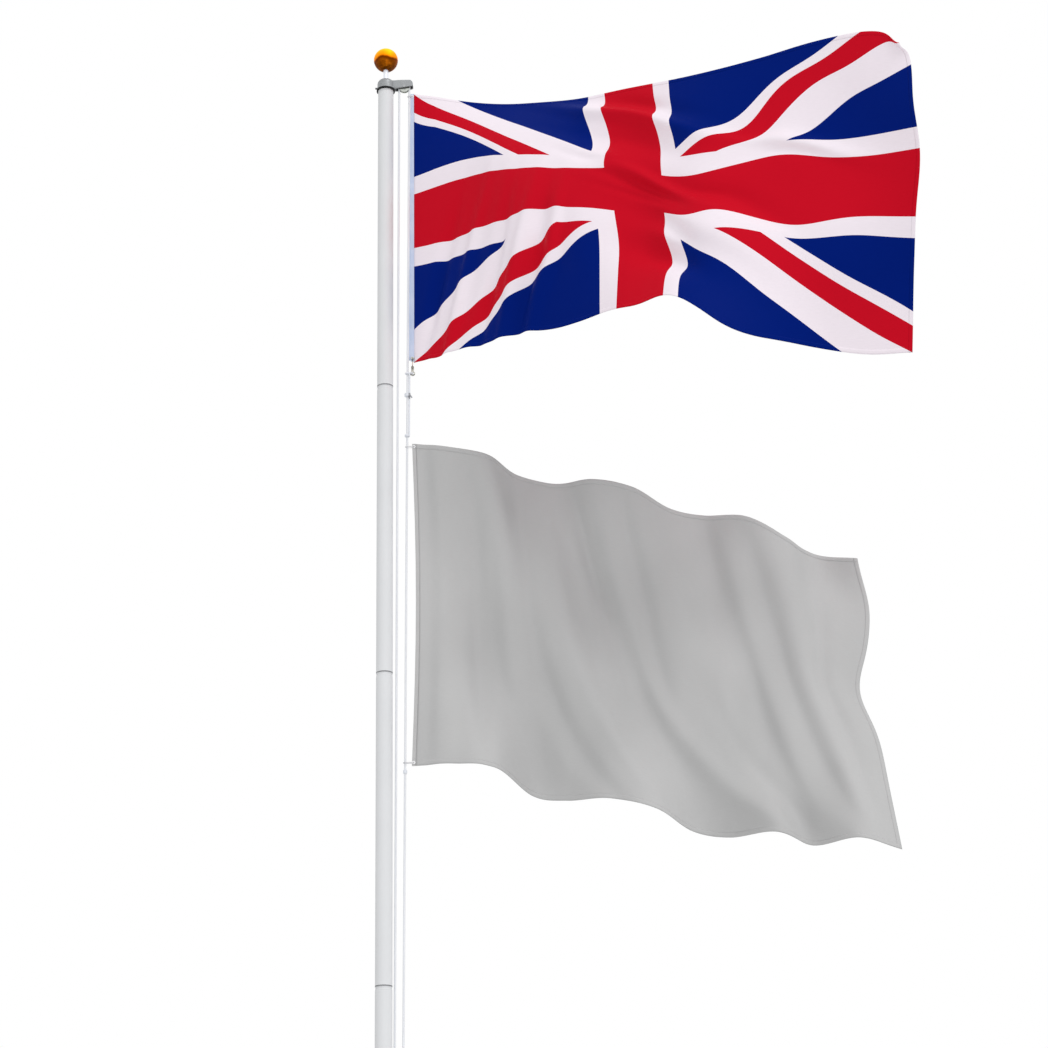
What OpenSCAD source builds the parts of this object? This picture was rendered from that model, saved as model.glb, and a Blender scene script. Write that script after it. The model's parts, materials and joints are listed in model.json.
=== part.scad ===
// Sectional flagpole with a ball finial, an arm truck, a rope halyard on a cleat and two flags.
// Millimetres, +Z up. The origin is on the pole's axis at ground level.
// The truck's arm points along +X, the flags fly towards +X and -Y.

/* [Pole] */
// Outer diameter of the pole tube
pole_d = 50.8; // [44:0.1:64]
// Wall of the pole tube
tube_wall = 1.6; // [1.2:0.1:2.4]
// Exposed length of each section, from rim to rim
section_pitch = 951; // [800:1:1100]
// Number of tube sections
section_count = 6; // [5:1:7]
// Length of the top section, which has no swaged end
top_section_l = 1105.5; // [900:0.5:1300]
// Length of the swaged end that enters the next section
swage_l = 120; // [80:1:160]
// Length of the taper between tube and swaged end
swage_taper_l = 12; // [8:1:20]
// Height of the ground sleeve's rim above the ground
sleeve_h = 36; // [20:1:60]
// Wall of the ground sleeve
sleeve_wall = 5; // [3:0.5:8]

/* [Finial] */
// Diameter of the ball
ball_d = 80; // [60:0.1:90]
// Diameter of the spindle under the ball
spindle_d = 16; // [12:0.5:20]
// Length of spindle that shows between truck and ball
spindle_show_l = 37.6; // [20:0.1:50]
// Depth of the spindle's socket in the ball
ball_socket_l = 20; // [12:1:28]

/* [Truck] */
// Height of the truck's cap
cap_h = 37; // [34:0.5:60]
// Depth that the pole enters the cap
cap_socket_l = 24; // [20:0.5:26]
// Wall of the cap
cap_wall = 2.4; // [1.6:0.1:4]
// How far the cap's rim stands out
rim_flare = 2.6; // [0.8:0.1:3]
// Distance of the sheave's axle from the pole's axis
axle_x = 61.5; // [58:0.5:70]
// Height of the arm of the truck
arm_h = 33.5; // [32:0.5:44]
// Rise of the arm's lower edge from the cap to its end
arm_rise = 9; // [4:0.5:10]
// Thickness of each cheek of the arm
cheek_t = 6; // [4:0.5:8]
// Height of the soft ring under the cap
gasket_h = 5.5; // [4:0.5:12]

/* [Sheave] */
// Outer diameter of the sheave
sheave_d = 36; // [35:0.5:40]
// Width of the sheave
sheave_w = 12; // [11:0.5:14]
// Diameter of the axle
axle_d = 8; // [6:0.5:9]

/* [Halyard] */
// Diameter of the rope
rope_d = 7; // [6:0.5:8]
// Radius at which the rope's centre lies on the sheave
rope_pitch_r = 16.75; // [16:0.25:17]

/* [Cleat] */
// Height of the cleat's centre above the ground
cleat_z = 1200; // [1100:10:1300]
// Length of the cleat from horn to horn
cleat_l = 150; // [130:1:180]
// Distance of the horns' axis from the pole's surface
cleat_stand = 38; // [36:1:44]

/* [Flags] */
// Height of the upper flag at its hoist
upper_hoist = 976; // [800:1:1000]
// Distance of the upper flag's top edge below the truck's rim
upper_drop = 16.5; // [14:0.5:60]
// Height of the lower flag at its hoist
lower_hoist = 1045; // [800:5:1080]
// Gap between the two flags along the halyard
flag_gap = 285; // [240:5:400]
// Thickness of the cloth with its seams
cloth_t = 1.6; // [1.2:0.1:3]
// Width of the heading tape at the hoist
heading_w = 11; // [10.5:0.5:30]
// Thickness of the heading tape
heading_t = 3; // [2.4:0.2:5]
// Distance of the upper heading's edge from the rope's centre, at its top
upper_gap_top = 4.2; // [4.2:0.1:12]
// Distance of the upper heading's edge from the rope's centre, at its bottom
upper_gap_bottom = 10; // [6:0.1:20]
// Distance of the lower heading's edge from the rope's centre, at its top
lower_gap_top = 15.5; // [10:0.5:24]
// Distance of the lower heading's edge from the rope's centre, at its bottom
lower_gap_bottom = 20; // [10:0.5:24]
// How far the lower heading bows away from the rope half-way down
lower_bow = 12; // [0:1:20]

/* [Hidden] */

$fn = 64;
overrun = 1;
seat_gap = 0.1;
fit_gap = 0.05;
rope_gap = 0.3;
run_gap = 1;

pole_r = pole_d / 2;
bore_r = pole_r - tube_wall;
swage_r = bore_r - seat_gap;
rope_r = rope_d / 2;
pole_top = (section_count - 1) * section_pitch + top_section_l;

// Truck
cap_rim_z = pole_top - cap_socket_l;
cap_top_z = cap_rim_z + cap_h;
cap_bore_r = pole_r + seat_gap;
cap_r = cap_bore_r + cap_wall;
rim_r = cap_r + rim_flare;
rim_h = 4;
dome_r = 16;
arm_bottom_z = cap_rim_z;
arm_top_z = arm_bottom_z + arm_h;
arm_waist = 3;
waist_gap = 5;
shoulder_l = 6;
shoulder_slope_l = 9;
arm_edge_r = 5;
slot_w = sheave_w + 2 * run_gap;
arm_t = slot_w + 2 * cheek_t;
axle_rise = 9;
axle_z = arm_bottom_z + axle_rise;
arm_end_l = 29;
arm_end_x = axle_x + arm_end_l;
arm_end_r = 18;
arm_end_bevel = 3;
sheave_r = sheave_d / 2;
slot_wall = 4;
slot_x0 = cap_r + slot_wall;
slot_h = 20;
slot_gap = 1.25;
slot_r = rope_pitch_r + rope_r + slot_gap;
axle_r = axle_d / 2;
rivet_lip = 1.5;
rivet_r = axle_r + rivet_lip;
rivet_h = 1.2;
screw_r = 3;
screw_l = 7;
screw_z = cap_rim_z + rim_h + screw_r;

// Rope route
hoist_top = [axle_x + rope_pitch_r, 0, axle_z];

// Cleat
horn_x = pole_r + cleat_stand;
horn_r = 7;
horn_tip_r = 4.5;
tip_l = 4;
nose_r = 3.15;
nose_l = 1;
leg_r = 7;
leg_z_share = 0.16;
leg_dz = cleat_l * leg_z_share;
pad_t = 5;
pad_w = 24;
pad_l = 70;
pad_x = pole_r + seat_gap;
pad_screw_r = 4;
pad_screw_h = 2.5;
pad_screw_dz = 8;
hitch_gap = 2;
hitch_side = leg_r + rope_r + hitch_gap;

// Hitch on the cleat, from the hoist run round both horns to the return run.
// Shares of the stand from the pole's surface, of the reach to one side, of the cleat's length upwards.
hitch_shares = [
    [0.60, 0, 0.73], [0.52, -0.10, 0.40], [0.52, -0.50, 0.27], [0.52, -0.95, 0.16],
    [0.52, -1, 0], [0.52, -1, -0.16], [0.52, -0.65, -0.28], [0.54, 0, -0.33],
    [0.60, 0.65, -0.31], [0.80, 1.20, -0.24], [1.12, 1.20, -0.15], [1.30, 0.72, -0.07],
    [1.33, 0, 0], [1.30, -0.72, 0.07], [1.12, -1.20, 0.15], [0.86, -1.20, 0.23],
    [0.71, -0.65, 0.29], [0.70, 0, 0.31], [0.71, 0.65, 0.29], [0.86, 1.20, 0.23],
    [1.12, 1.20, 0.15], [1.44, 0.80, 0.07], [1.56, 0, 0], [1.44, -0.80, -0.07],
    [1.12, -1.30, -0.15], [0.91, -1.20, -0.25], [0.65, -0.75, -0.37], [0.54, 0, -0.40],
    [0.49, 0.75, -0.37], [0.28, 1.05, -0.28], [0.27, 1.03, -0.16], [0.27, 1.03, 0],
    [0.27, 1.03, 0.16], [0.27, 0.95, 0.28], [0.14, 1.10, 0.45], [0.02, 1.20, 0.73]
];
hitch = [for (s = hitch_shares)
    [pole_r + s[0] * cleat_stand, s[1] * hitch_side, cleat_z + s[2] * cleat_l]];
hoist_low = hitch[0];

// Place of the hoist line's centre at a height
function hoist_at(z) =
    hoist_top + (hoist_low - hoist_top) * (hoist_top[2] - z) / (hoist_top[2] - hoist_low[2]);

// Flags
upper_top_z = cap_rim_z - upper_drop;
upper_bottom_z = upper_top_z - upper_hoist;
lower_top_z = upper_bottom_z - flag_gap;
lower_bottom_z = lower_top_z - lower_hoist;

cells_u = 28;
cells_v = 8;

// Smooth curve through evenly spaced values, at a share t of its length
function blend(a, b, c, d, t) =
    ((2 * b) + (c - a) * t + (2 * a - 5 * b + 4 * c - d) * t * t + (3 * b - a - 3 * c + d) * t * t * t) / 2;
function along(p, t) =
    let (n = len(p) - 1, x = min(max(t * n, 0), n), i = min(floor(x), n - 1))
    blend(i > 0 ? p[i - 1] : 2 * p[0] - p[1], p[i], p[i + 1],
          i + 2 <= n ? p[i + 2] : 2 * p[n] - p[n - 1], x - i);

// Upper flag as it flies: four lines along the fly, from the top edge to the bottom edge.
// Shares of the hoist, outwards, towards the viewer and downwards.
upper_out_shares = [
    [0, 0.17, 0.345, 0.52, 0.71, 0.895, 1.11, 1.31, 1.515],
    [0, 0.19, 0.34, 0.515, 0.72, 0.89, 1.13, 1.335, 1.515],
    [0, 0.18, 0.34, 0.525, 0.74, 0.89, 1.09, 1.29, 1.515],
    [0, 0.17, 0.345, 0.53, 0.71, 0.87, 1.06, 1.275, 1.51]
];
upper_fore_shares = [
    [0, 0.06, 0.15, 0.29, 0.44, 0.59, 0.72, 0.84, 0.97],
    [0, 0.15, 0.30, 0.43, 0.54, 0.66, 0.74, 0.83, 0.97],
    [0, 0.16, 0.35, 0.49, 0.58, 0.69, 0.76, 0.82, 0.84],
    [0, 0.18, 0.33, 0.49, 0.67, 0.79, 0.76, 0.69, 0.67]
];
upper_down_shares = [
    [0, 0.07, 0.135, 0.205, 0.255, 0.305, 0.325, 0.335, 0.41],
    [0.32, 0.34, 0.41, 0.49, 0.545, 0.615, 0.64, 0.68, 0.72],
    [0.655, 0.71, 0.725, 0.77, 0.85, 0.92, 0.96, 1.005, 1.025],
    [1.005, 1.03, 1.06, 1.10, 1.12, 1.21, 1.30, 1.31, 1.31]
];

// Lower flag as it flies, in the same way: its folds slant down the cloth
lower_out_shares = [
    [0, 0.10, 0.21, 0.305, 0.41, 0.53, 0.645, 0.755, 0.86, 0.975, 1.09, 1.19, 1.305],
    [0, 0.11, 0.22, 0.325, 0.42, 0.53, 0.65, 0.77, 0.875, 0.98, 1.095, 1.205, 1.325],
    [0, 0.11, 0.215, 0.325, 0.44, 0.555, 0.655, 0.77, 0.89, 0.995, 1.105, 1.22, 1.34],
    [0, 0.115, 0.23, 0.335, 0.435, 0.555, 0.68, 0.79, 0.90, 1.02, 1.13, 1.25, 1.37]
];
lower_fore_shares = [
    [0, 0.045, 0.045, -0.05, -0.045, 0.05, 0.07, 0.005, -0.01, 0.06, 0.03, -0.065, -0.02],
    [0, -0.01, 0.03, 0.05, -0.01, -0.05, 0.01, 0.06, -0.01, 0.02, 0.05, 0, -0.04],
    [0, 0.02, -0.04, -0.01, 0.05, 0.01, -0.06, -0.01, 0.05, -0.04, 0.02, 0.03, -0.02],
    [0, 0.07, 0.10, -0.08, -0.08, 0, 0.03, -0.07, -0.11, -0.01, -0.06, 0.05, 0.02]
];
lower_down_shares = [
    [0, 0.03, 0.055, 0.085, 0.12, 0.145, 0.18, 0.225, 0.245, 0.275, 0.33, 0.355, 0.385],
    [0.335, 0.36, 0.385, 0.415, 0.44, 0.47, 0.505, 0.545, 0.57, 0.59, 0.63, 0.655, 0.68],
    [0.667, 0.685, 0.71, 0.745, 0.765, 0.785, 0.82, 0.865, 0.885, 0.90, 0.935, 0.95, 0.98],
    [1, 1.015, 1.035, 1.075, 1.09, 1.105, 1.145, 1.19, 1.20, 1.21, 1.24, 1.245, 1.275]
];

// Place on a flag at a share u of its fly and v of its hoist, from its top corner
function flag_part(rows, u, v) = along([for (row = rows) along(row, u)], v);
function flag_point(out, fore, down, u, v) =
    [flag_part(out, u, v), -flag_part(fore, u, v), -flag_part(down, u, v)];

module tube_section(base, length, swaged) {
    color("silver")
    translate([0, 0, base])
    rotate_extrude()
    polygon(swaged
        ? [[bore_r, 0], [pole_r, 0], [pole_r, length - swage_taper_l], [swage_r, length],
           [swage_r, length + swage_l], [swage_r - tube_wall, length + swage_l],
           [swage_r - tube_wall, length - swage_taper_l / 4], [bore_r, length - swage_taper_l]]
        : [[bore_r, 0], [pole_r, 0], [pole_r, length], [bore_r, length]]);
}

module pole_section(k) {
    top = k == section_count;
    tube_section((k - 1) * section_pitch, top ? top_section_l : section_pitch, !top);
}

module foot_plug() {
    color("dimgray")
    cylinder(h = sleeve_h / 2, r = bore_r - seat_gap);
}

module ground_sleeve() {
    color("gray")
    difference() {
        cylinder(h = sleeve_h, r = pole_r + seat_gap + sleeve_wall);
        translate([0, 0, -overrun])
        cylinder(h = sleeve_h + 2 * overrun, r = pole_r + seat_gap);
    }
}

// Outline of the arm seen along Y, with its waist beside the cap
arm_outline = concat(
    [[0, arm_top_z - arm_waist], [0, arm_bottom_z], [slot_x0, arm_bottom_z],
     [arm_end_x - arm_end_bevel, arm_bottom_z + arm_rise],
     [arm_end_x, arm_bottom_z + arm_rise + arm_end_bevel]],
    [for (i = [0 : 10]) let (a = i * 90 / 10)
        [arm_end_x - arm_end_r + arm_end_r * cos(a), arm_top_z - arm_end_r + arm_end_r * sin(a)]],
    [[axle_x - shoulder_l, arm_top_z],
     [axle_x - shoulder_l - shoulder_slope_l, arm_top_z - arm_waist / 3],
     [cap_r + waist_gap, arm_top_z - arm_waist]]
);

// Section of the arm seen along X, with its long edges rounded
arm_section = [for (c = [[1, 0], [1, 1], [0, 1], [0, 0]]) for (i = [0 : 4])
    let (a = (c == [1, 0] ? -90 : c == [1, 1] ? 0 : c == [0, 1] ? 90 : 180) + i * 90 / 4)
    [(2 * c[0] - 1) * (arm_t / 2 - arm_edge_r) + arm_edge_r * cos(a),
     arm_bottom_z + arm_edge_r + c[1] * (arm_h - 2 * arm_edge_r) + arm_edge_r * sin(a)]];

module truck() {
    color("slategray")
    difference() {
        union() {
            rotate_extrude()
            polygon(concat(
                [[0, cap_rim_z], [rim_r, cap_rim_z], [rim_r, cap_rim_z + rim_h],
                 [cap_r, cap_rim_z + rim_h + rim_flare]],
                [for (i = [0 : 8]) let (a = i * 90 / 8)
                    [cap_r - dome_r + dome_r * cos(a), cap_top_z - dome_r + dome_r * sin(a)]],
                [[0, cap_top_z]]
            ));
            intersection() {
                rotate([90, 0, 0])
                translate([0, 0, -arm_t / 2])
                linear_extrude(height = arm_t)
                polygon(arm_outline);
                rotate([90, 0, 90])
                linear_extrude(height = arm_end_x + overrun)
                polygon(arm_section);
            }
        }
        translate([0, 0, cap_rim_z - overrun])
        cylinder(h = cap_socket_l + overrun, r = cap_bore_r);
        translate([slot_x0, -slot_w / 2, arm_bottom_z - overrun])
        cube([arm_end_x, slot_w, slot_h + overrun]);
        translate([axle_x, slot_w / 2, axle_z])
        rotate([90, 0, 0])
        cylinder(h = slot_w, r = slot_r);
        translate([axle_x, arm_t / 2 + overrun, axle_z])
        rotate([90, 0, 0])
        cylinder(h = arm_t + 2 * overrun, r = axle_r + fit_gap);
        translate([-rim_r - overrun, 0, screw_z])
        rotate([0, 90, 0])
        cylinder(h = rim_r, r = screw_r + fit_gap);
    }
}

module truck_gasket() {
    color("black")
    translate([0, 0, cap_rim_z - gasket_h])
    difference() {
        cylinder(h = gasket_h, r = rim_r - seat_gap);
        translate([0, 0, -overrun])
        cylinder(h = gasket_h + 2 * overrun, r = pole_r + seat_gap);
    }
}

module truck_set_screw() {
    color("dimgray")
    translate([-pole_r - seat_gap, 0, screw_z])
    rotate([0, -90, 0])
    cylinder(h = cap_wall + screw_l, r = screw_r);
}

groove_r = rope_r + rope_gap;
module sheave() {
    color("lightgray")
    translate([axle_x, 0, axle_z])
    rotate([90, 0, 0])
    rotate_extrude()
    polygon(concat(
        [[axle_r + fit_gap, -sheave_w / 2], [sheave_r, -sheave_w / 2], [sheave_r, -groove_r]],
        [for (i = [0 : 12]) let (a = -90 - i * 180 / 12)
            [rope_pitch_r + groove_r * cos(a), groove_r * sin(a)]],
        [[sheave_r, groove_r], [sheave_r, sheave_w / 2], [axle_r + fit_gap, sheave_w / 2]]
    ));
}

module sheave_axle() {
    color("silver")
    translate([axle_x, 0, axle_z])
    rotate([90, 0, 0]) {
        translate([0, 0, -arm_t / 2 - rivet_h])
        cylinder(h = arm_t + 2 * rivet_h, r = axle_r);
        for (side = [-1, 1])
            translate([0, 0, side * (arm_t / 2 + rivet_h / 2) - rivet_h / 2])
            cylinder(h = rivet_h, r = rivet_r);
    }
}

module finial_spindle() {
    color("silver")
    translate([0, 0, cap_top_z])
    cylinder(h = spindle_show_l + ball_socket_l, r = spindle_d / 2);
}

module finial_ball() {
    color("goldenrod")
    difference() {
        translate([0, 0, cap_top_z + spindle_show_l + ball_d / 2])
        sphere(d = ball_d);
        translate([0, 0, cap_top_z])
        cylinder(h = spindle_show_l + ball_socket_l, r = spindle_d / 2 + fit_gap);
    }
}

function unit(a) = a / norm(a);
function squared(a, t) = unit(a - (a * t) * t);

// Directions of a closed or an open run of points, and cross directions carried along it without a twist
function heading_of(p, i, closed) = closed
    ? unit(p[(i + 1) % len(p)] - p[(i + len(p) - 1) % len(p)])
    : unit(p[min(i + 1, len(p) - 1)] - p[max(i - 1, 0)]);
function carried(p, a, i, closed) = i == len(p)
    ? []
    : let (b = squared(a, heading_of(p, i, closed))) concat([b], carried(p, b, i + 1, closed));

// A round cord through its points. A closed one shares its closing twist out over all its rings.
module cord(p, r, sides, closed) {
    n = len(p);
    t0 = heading_of(p, 0, closed);
    side = carried(p, squared([0.2, 1, 0.1], t0), 0, closed);
    last = squared(side[n - 1], t0);
    twist = closed ? atan2(last * cross(t0, side[0]), last * side[0]) : 0;
    ring = [for (i = [0 : n - 1])
        let (t = heading_of(p, i, closed), a = side[i], b = cross(t, a))
        for (k = [0 : sides - 1]) let (w = k * 360 / sides - twist * i / n)
            p[i] + r * (cos(w) * a + sin(w) * b)];
    faces = concat(
        [for (i = [0 : closed ? n - 1 : n - 2]) for (k = [0 : sides - 1])
            let (m = (k + 1) % sides, j = (i + 1) % n)
            each [[i * sides + k, j * sides + k, j * sides + m],
                  [i * sides + k, j * sides + m, i * sides + m]]],
        closed ? [] : [[for (k = [0 : sides - 1]) k],
                       [for (k = [sides - 1 : -1 : 0]) (n - 1) * sides + k]]
    );
    polyhedron(points = ring, faces = faces);
}

halyard_points = concat(
    hitch,
    [for (i = [0 : 12]) let (a = 180 - i * 15)
        [axle_x + rope_pitch_r * cos(a), 0, axle_z + rope_pitch_r * sin(a)]]
);

module halyard() {
    color("whitesmoke")
    cord(halyard_points, rope_r, 8, true);
}

module cleat() {
    color("silver")
    difference() {
        union() {
            translate([horn_x, 0, cleat_z])
            rotate_extrude()
            polygon([[0, -cleat_l / 2], [nose_r, nose_l - cleat_l / 2], [horn_tip_r, tip_l - cleat_l / 2],
                     [horn_r, -leg_dz], [horn_r, leg_dz],
                     [horn_tip_r, cleat_l / 2 - tip_l], [nose_r, cleat_l / 2 - nose_l], [0, cleat_l / 2]]);
            for (side = [-1, 1])
                translate([0, 0, cleat_z + side * leg_dz])
                rotate([0, 90, 0])
                cylinder(h = horn_x, r = leg_r);
            translate([0, -pad_w / 2, cleat_z - pad_l / 2])
            cube([pad_x + pad_t, pad_w, pad_l]);
        }
        translate([0, 0, cleat_z - cleat_l])
        cylinder(h = 2 * cleat_l, r = pad_x);
    }
}

module cleat_screws() {
    color("dimgray")
    for (side = [-1, 1])
        translate([pad_x + pad_t, 0, cleat_z + side * pad_screw_dz])
        rotate([0, 90, 0])
        cylinder(h = pad_screw_h, r = pad_screw_r);
}

// A closed sheet between two offset copies of a surface
module sheet(grid, nu, nv, t) {
    count = (nu + 1) * (nv + 1);
    front = [for (p = grid) p + [0, -t / 2, 0]];
    back = [for (p = grid) p + [0, t / 2, 0]];
    function at(i, j) = i * (nv + 1) + j;
    faces = concat(
        [for (i = [0 : nu - 1]) for (j = [0 : nv - 1])
            each [[at(i, j), at(i, j + 1), at(i + 1, j + 1)], [at(i, j), at(i + 1, j + 1), at(i + 1, j)]]],
        [for (i = [0 : nu - 1]) for (j = [0 : nv - 1])
            each [[count + at(i, j), count + at(i + 1, j + 1), count + at(i, j + 1)],
                  [count + at(i, j), count + at(i + 1, j), count + at(i + 1, j + 1)]]],
        [for (i = [0 : nu - 1]) for (j = [0, nv])
            let (a = at(i, j), b = at(i + 1, j))
            each j == 0
                ? [[a, b, count + b], [a, count + b, count + a]]
                : [[a, count + b, b], [a, count + a, count + b]]],
        [for (j = [0 : nv - 1]) for (i = [0, nu])
            let (a = at(i, j), b = at(i, j + 1))
            each i == 0
                ? [[a, count + b, b], [a, count + a, count + b]]
                : [[a, b, count + b], [a, count + b, count + a]]]
    );
    polyhedron(points = concat(front, back), faces = faces);
}

// Edge of a heading at a height: along the rope, with its gaps at top and bottom and its bow between them
upper_edge = [upper_top_z, upper_hoist, upper_gap_top, upper_gap_bottom, 0];
lower_edge = [lower_top_z, lower_hoist, lower_gap_top, lower_gap_bottom, lower_bow];
function edge_x(e, z) =
    let (v = min(max((e[0] - z) / e[1], 0), 1))
    hoist_at(z)[0] + e[2] + (e[3] - e[2]) * v + e[4] * sin(180 * v);

module cloth(e, out, fore, down) {
    grid = [for (i = [0 : cells_u]) for (j = [0 : cells_v])
        let (u = i / cells_u, v = j / cells_v, low = e[0] - e[1] * flag_part(down, 0, v))
        [edge_x(e, e[0]) + heading_w + seat_gap + (edge_x(e, low) - edge_x(e, e[0])) * pow(1 - u, 2),
         hoist_at(e[0])[1], e[0]] + e[1] * flag_point(out, fore, down, u, v)];
    sheet(grid, cells_u, cells_v, cloth_t);
}

module union_flag() {
    color("navy")
    cloth(upper_edge, upper_out_shares, upper_fore_shares, upper_down_shares);
}

module grey_flag() {
    color("darkgray")
    cloth(lower_edge, lower_out_shares, lower_fore_shares, lower_down_shares);
}

grommet_in = 10;
grommet_r = 5.2;
grommet_wall = 0.8;
grommet_hole_r = 3.3;
flange_t = 1.2;
flange_gap = 0.1;
flange_mid = heading_t / 2 + flange_gap + flange_t / 2;
function grommet_zs(e) = [e[0] - grommet_in, e[0] - e[1] + grommet_in];
function grommet_x(e, z) = edge_x(e, z) + heading_w / 2;

module heading(e, down) {
    zs = [for (j = [0 : cells_v]) e[0] - e[1] * min(1, flag_part(down, 0, j / cells_v))];
    difference() {
        rotate([90, 0, 0])
        translate([0, 0, -heading_t / 2])
        linear_extrude(height = heading_t)
        polygon(concat([for (z = zs) [edge_x(e, z), z]],
                       [for (j = [cells_v : -1 : 0]) [edge_x(e, zs[j]) + heading_w, zs[j]]]));
        for (z = grommet_zs(e))
            translate([grommet_x(e, z), heading_t, z])
            rotate([90, 0, 0])
            cylinder(h = 2 * heading_t, r = grommet_hole_r + grommet_wall + fit_gap);
    }
}

module grommets(e) {
    color("gold")
    for (z = grommet_zs(e))
        translate([grommet_x(e, z), 0, z])
        rotate([90, 0, 0])
        difference() {
            union() {
                translate([0, 0, -heading_t])
                cylinder(h = 2 * heading_t, r = grommet_hole_r + grommet_wall);
                for (side = [-1, 1])
                    translate([0, 0, side * flange_mid - flange_t / 2])
                    cylinder(h = flange_t, r = grommet_r);
            }
            translate([0, 0, -2 * heading_t])
            cylinder(h = 4 * heading_t, r = grommet_hole_r);
        }
}

module union_flag_heading() {
    color("white")
    heading(upper_edge, upper_down_shares);
}

module grey_flag_heading() {
    color("lightgray")
    heading(lower_edge, lower_down_shares);
}

module union_flag_grommets() {
    grommets(upper_edge);
}

module grey_flag_grommets() {
    grommets(lower_edge);
}

wire_r = 1.5;
link_gap = 0.5;
hook_r = 5;
hook_l = 26;
barrel_r = 4.5;
barrel_l = 14;
neck_r = 2.2;
neck_l = 5;
eye_r = 6.5;
eye_wire_r = 2;
stud_r = 1.4;
stud_l = 8;
cord_r = 2.5;

// Outline of a long ring from 0 to span, its ends of radius r
function long_ring(span, r) = concat(
    [for (i = [0 : 8]) let (a = 90 + i * 180 / 8) [r * cos(a), r * sin(a)]],
    [for (i = [0 : 8]) let (a = -90 + i * 180 / 8) [span + r * cos(a), r * sin(a)]]
);

// A level ring round the rope that reaches the flag's edge at a distance x from the pole's axis
module level_ring(z, x, r) {
    c = hoist_at(z);
    bend = rope_r + link_gap + r;
    translate(c)
    cord([for (q = long_ring(x - c[0] - bend + wire_r / 4, bend)) [q[0], q[1], 0]], r, 8, true);
}

module link(e, z) {
    color("gainsboro")
    level_ring(z, grommet_x(e, z), wire_r);
}

hook_z = upper_bottom_z + grommet_in;
hook_x = grommet_x(upper_edge, hook_z);
bow_in = 3;
eye_in = 1;
barrel_z = hook_z - hook_l - hook_r - barrel_l + bow_in;
eye_z = barrel_z - neck_l - eye_r + eye_in;

module union_top_link() {
    link(upper_edge, upper_top_z - grommet_in);
}

// A snap hook: its bow passes through the grommet, its swivel eye hangs below the barrel
module union_bottom_hook() {
    color("gainsboro")
    translate([hook_x, 0, 0]) {
        translate([0, 0, hook_z + wire_r / 4 - hook_r])
        cord([for (q = long_ring(hook_l, hook_r)) [0, q[1], -q[0]]], wire_r, 8, true);
        translate([0, 0, barrel_z])
        cylinder(h = barrel_l, r = barrel_r, $fn = 32);
        translate([0, 0, barrel_z + barrel_l / 2])
        rotate([90, 0, 0])
        cylinder(h = stud_l, r = stud_r, $fn = 16);
        translate([0, 0, barrel_z - neck_l])
        cylinder(h = neck_l + overrun, r = neck_r, $fn = 24);
        translate([0, 0, eye_z])
        cord([for (i = [0 : 19]) let (a = i * 360 / 20) [eye_r * cos(a), 0, eye_r * sin(a)]],
             eye_wire_r, 8, true);
    }
}

// The cord that ties the two flags together runs down beside the rope, from the hook's eye to the lower flag
tie_x = rope_r + cord_r + link_gap;
tie_shares = [[1, -0.95, 0], [1.05, -0.85, -1.3], [1.05, -0.45, -2.8], [1, -0.1, -4.3], [1, 0, -6]];
knot_r = 3.1;
small_knot_r = 2.2;
seizing_r = 1.2;
knot_gap = 0.4;
tail_r = 2.4;
tail_shares = [[0.72, -0.48, -0.36], [1.44, -0.72, -0.96], [2.04, -0.72, -1.92]];
turn_share = 1.6;
tie_l = 72;
union_knot_z = eye_z - tie_l;
grey_knot_rise = 30;
grey_knot_z = lower_top_z + grey_knot_rise;
seizing_drop = 14;

function tie_at(z) = hoist_at(z) + [tie_x, 0, 0];

module union_hook_cord() {
    color("whitesmoke") {
        level_ring(eye_z, hook_x, cord_r);
        cord(concat([for (q = tie_shares) hoist_at(eye_z + q[2] * tie_x) + [q[0], q[1], 0] * tie_x],
                    [tie_at(union_knot_z + knot_r + rope_gap)]), cord_r, 8, false);
    }
}

module grey_top_link() {
    link(lower_edge, lower_top_z - grommet_in);
}

module grey_bottom_link() {
    link(lower_edge, lower_bottom_z + grommet_in);
}

// Turns of cord laid round the rope, one under the other
module turns(z, r, count) {
    translate(hoist_at(z))
    for (i = [0 : count - 1])
        translate([0, 0, -i * r * turn_share])
        rotate_extrude($fn = 32)
        translate([rope_r + knot_gap + r, 0])
        circle(r = r, $fn = 12);
}

// The knot where the tie is made fast, with its short tail
module union_knot() {
    color("whitesmoke") {
        turns(union_knot_z, knot_r, 2);
        translate(hoist_at(union_knot_z))
        cord([for (s = tail_shares) s * (rope_r + knot_gap + knot_r)], tail_r, 8, false);
    }
}

module grey_upper_knot() {
    top = union_knot_z - knot_r * (1 + turn_share) - rope_gap;
    color("whitesmoke") {
        turns(grey_knot_z, small_knot_r, 2);
        cord([tie_at(grey_knot_z), tie_at((grey_knot_z + top) / 2), tie_at(top)], cord_r, 8, false);
    }
}

module grey_lower_knot() {
    color("whitesmoke")
    turns(lower_bottom_z - seizing_drop, seizing_r, 5);
}

pole_section(1);  // pole_section_1
pole_section(2);  // pole_section_2
pole_section(3);  // pole_section_3
pole_section(4);  // pole_section_4
pole_section(5);  // pole_section_5
pole_section(6);  // pole_section_6
foot_plug();
ground_sleeve();
truck();
truck_gasket();
truck_set_screw();
sheave();
sheave_axle();
finial_spindle();
finial_ball();
halyard();
cleat();
cleat_screws();
union_flag();
union_flag_heading();
union_flag_grommets();
grey_flag();
grey_flag_heading();
grey_flag_grommets();
union_top_link();
union_bottom_hook();
union_hook_cord();
grey_top_link();
grey_bottom_link();
union_knot();
grey_upper_knot();
grey_lower_knot();
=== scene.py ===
import json
import math

import bmesh
import bpy
from mathutils import Matrix, Vector


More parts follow.
